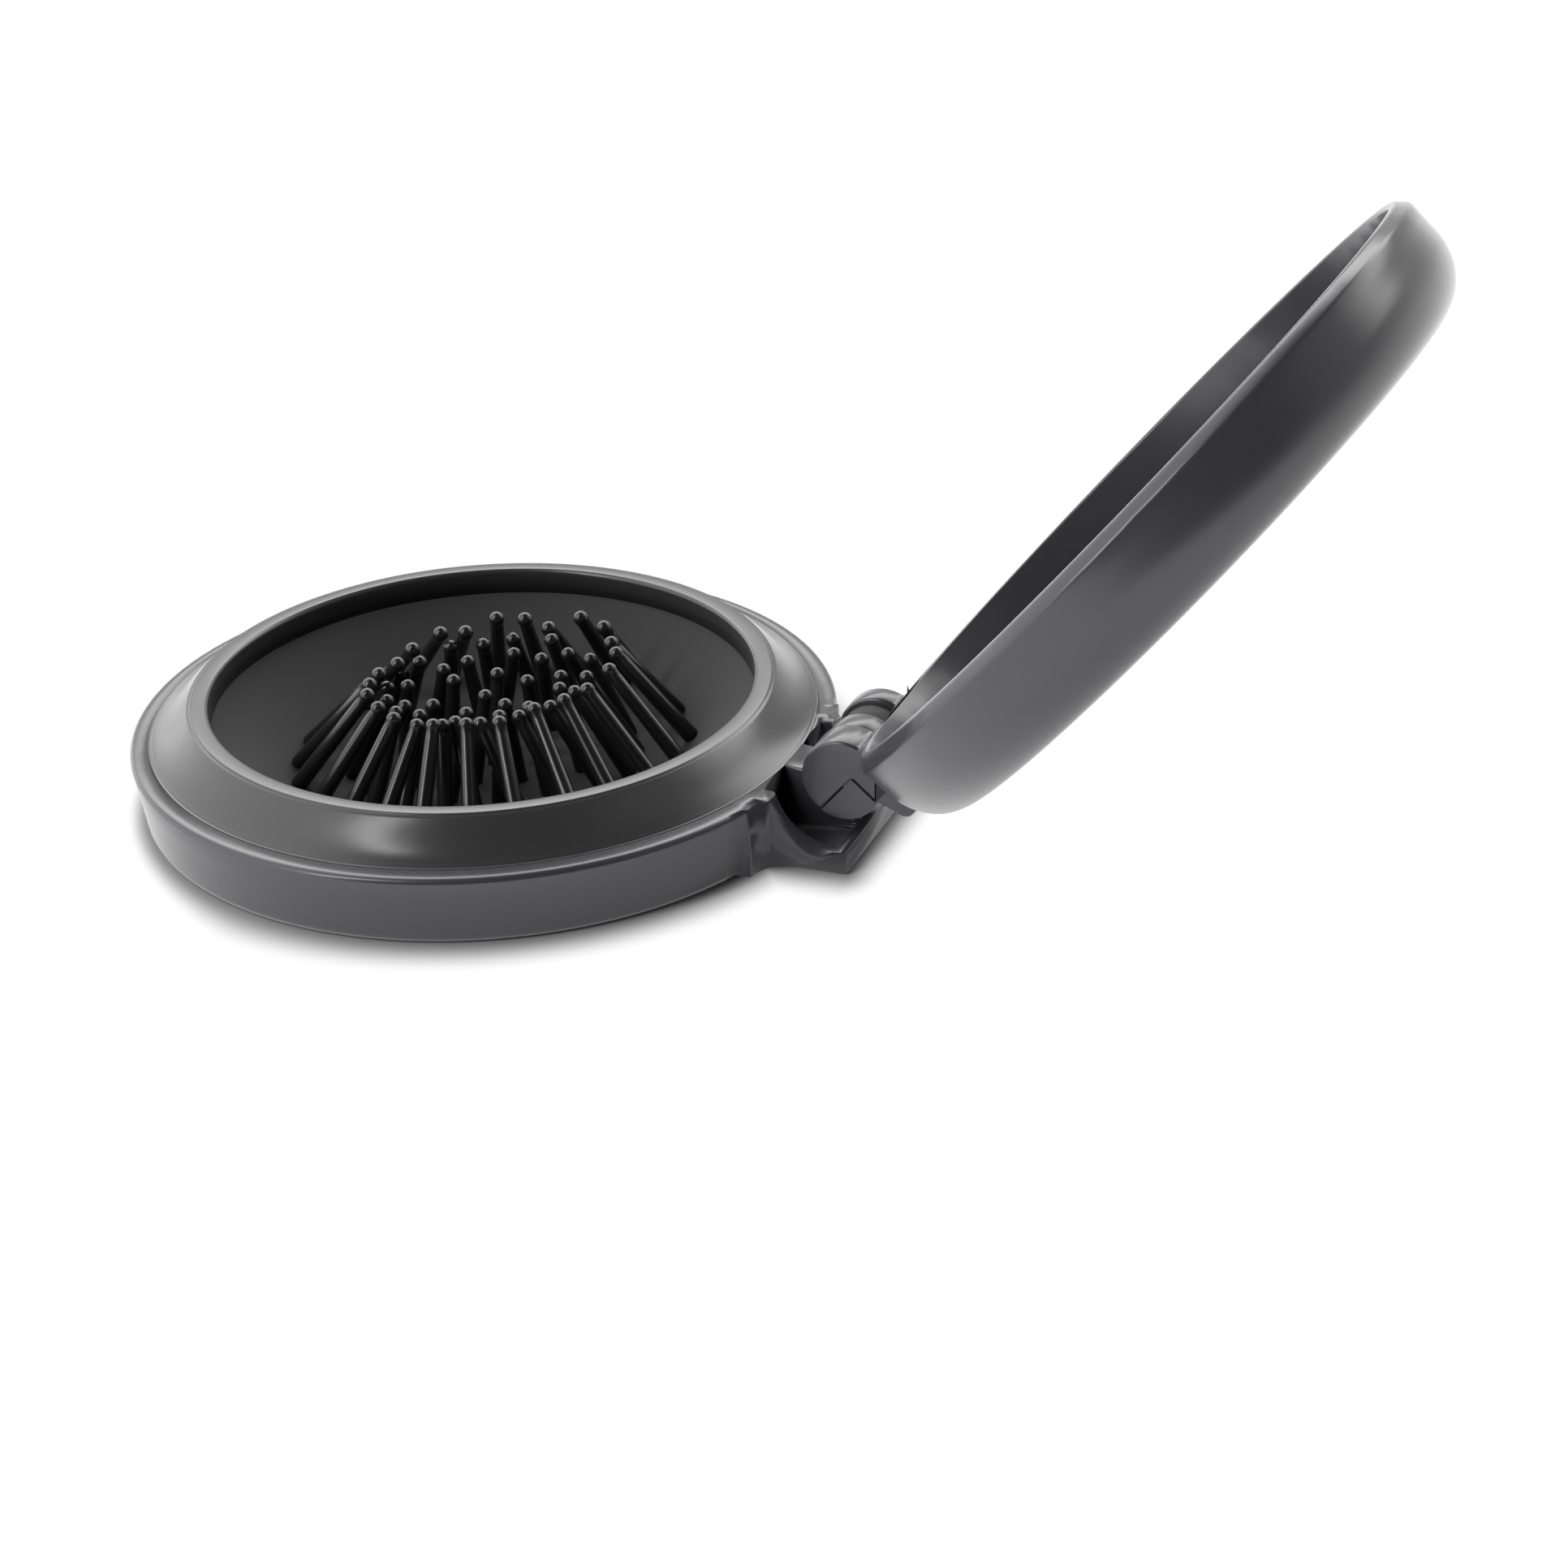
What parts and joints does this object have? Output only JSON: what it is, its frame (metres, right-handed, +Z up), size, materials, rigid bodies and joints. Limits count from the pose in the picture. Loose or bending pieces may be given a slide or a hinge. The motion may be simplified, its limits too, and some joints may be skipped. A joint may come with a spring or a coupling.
{
  "type": "folding hairbrush with mirror",
  "caption": "Round pocket hairbrush with ball-tipped pins stowed in a rubber pad, a push plate and a hinged lid with a mirror.",
  "frame": {"origin": "on the resting plane, straight below the middle of the hinge axis", "axes": "+Z up; +Y along the hinge axis; +X from the base towards the opened lid. Rest pose: lid open 131.5 degrees from closed, pad stowed"},
  "size_m": [0.1221, 0.066, 0.0612],
  "materials": {
    "case_plastic": "satin moulded",
    "bezel_plastic": "polished moulded",
    "inner_plastic": "matte moulded",
    "spacer_plastic": "rough moulded",
    "pad_rubber": "fine cross-hatched",
    "pin_plastic": "glossy drawn",
    "pin_steel": "ground",
    "mirror_glass": "silvered",
    "foam": "adhesive foam"
  },
  "bodies": {
    "base": {"base_shell": "case_plastic", "bezel_ring": "bezel_plastic", "clamp_ring": "inner_plastic", "rubber_diaphragm": "pad_rubber", "spacer_ring": "spacer_plastic"},
    "lid": {"lid_shell": "case_plastic", "knuckle_caps": "case_plastic", "mirror_frame": "bezel_plastic", "mirror_glass": "mirror_glass", "mirror_foam": "foam", "hinge_pin": "pin_steel"},
    "pad": {"push_plate": "inner_plastic", "centre_pin": "pin_plastic", "inner_ring_pins": "pin_plastic", "second_ring_pins": "pin_plastic", "third_ring_pins_1": "pin_plastic", "third_ring_pins_2": "pin_plastic", "third_ring_pins_3": "pin_plastic", "third_ring_pins_4": "pin_plastic", "third_ring_pins_5": "pin_plastic", "outer_ring_pins_1": "pin_plastic", "outer_ring_pins_2": "pin_plastic", "outer_ring_pins_3": "pin_plastic", "outer_ring_pins_4": "pin_plastic", "outer_ring_pins_5": "pin_plastic", "outer_ring_pins_6": "pin_plastic", "outer_ring_pins_7": "pin_plastic", "outer_ring_pins_8": "pin_plastic"}
  },
  "joints": [
    {"name": "lid_hinge", "type": "hinge", "parent": "base", "child": "lid", "pos_m": [0, 0, 0.008], "axis": [0, 1, 0], "range_deg": [-131.5, 46.5]},
    {"name": "pad_push", "type": "slide", "parent": "base", "child": "pad", "axis": [0, 0, 1], "range_m": [0, 0.001], "stiffness_N_per_m": 600, "deforming": ["rubber_diaphragm"]}
  ]
}
